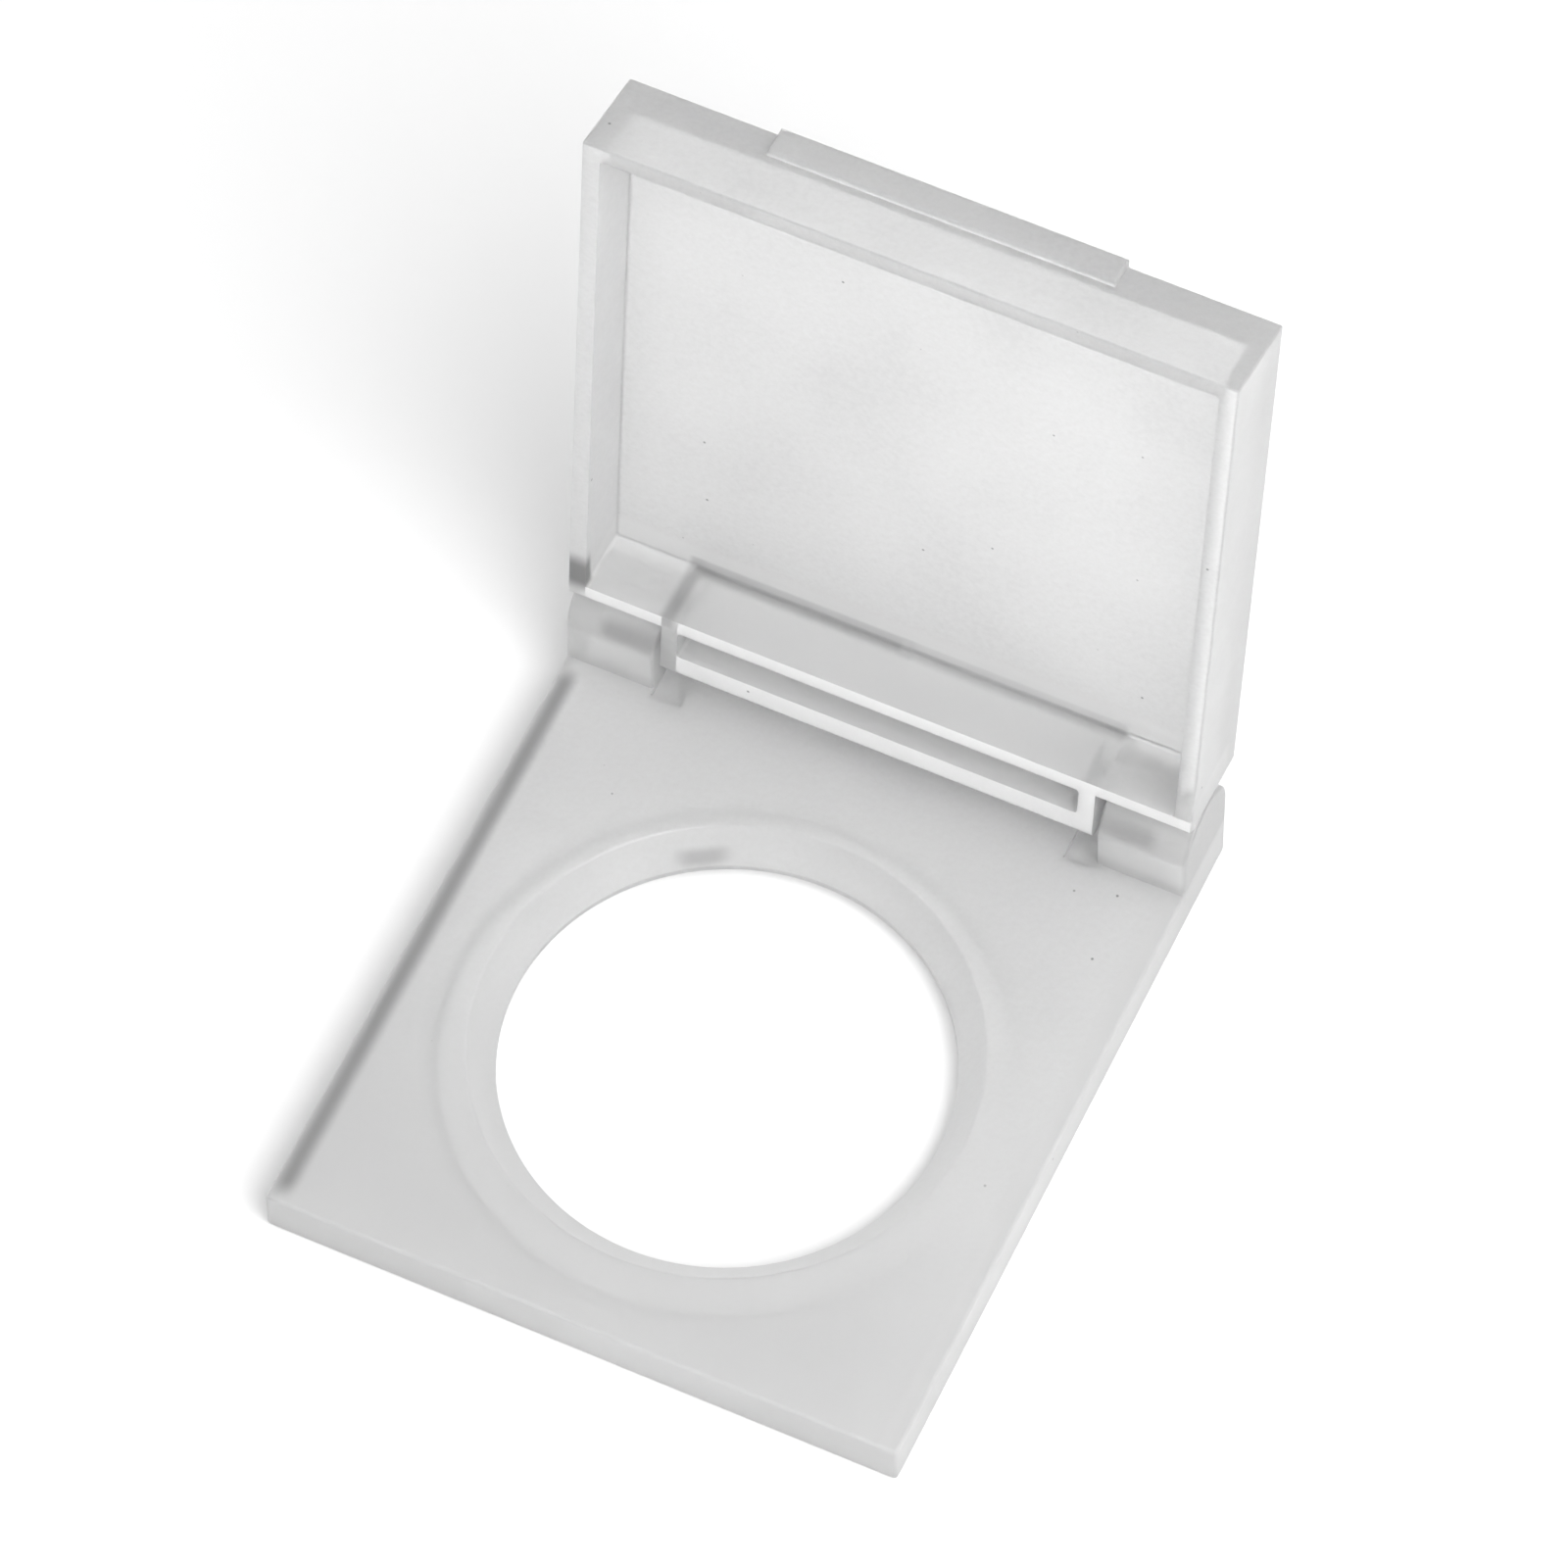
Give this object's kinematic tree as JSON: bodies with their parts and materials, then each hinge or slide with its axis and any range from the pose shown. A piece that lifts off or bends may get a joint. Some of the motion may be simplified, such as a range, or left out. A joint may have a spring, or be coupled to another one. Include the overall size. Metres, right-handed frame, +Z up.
{
  "type": "hinged square coin capsule",
  "caption": "Square translucent coin capsule: a base plate with a round window and a flip-up tray lid that turns on two short pins in lugs at its back corners.",
  "frame": {"origin": "middle of the footprint of the open capsule, on the surface it rests on", "axes": "+Z up, +X along the hinge, +Y towards the hinge and the back"},
  "size_m": [0.05, 0.0642, 0.0629],
  "materials": {
    "base_plastic": "frosted translucent moulding",
    "lid_plastic": "frosted translucent moulding",
    "pin_steel": "drawn wire"
  },
  "bodies": {
    "base": {"base": "base_plastic"},
    "lid": {"lid": "lid_plastic", "hinge_pin_left": "pin_steel", "hinge_pin_right": "pin_steel"}
  },
  "joints": [
    {"name": "lid_hinge", "type": "hinge", "parent": "base", "child": "lid", "pos_m": [0, 0.02195, 0.0076], "axis": [1, 0, 0], "range_deg": [-24, 96]}
  ]
}
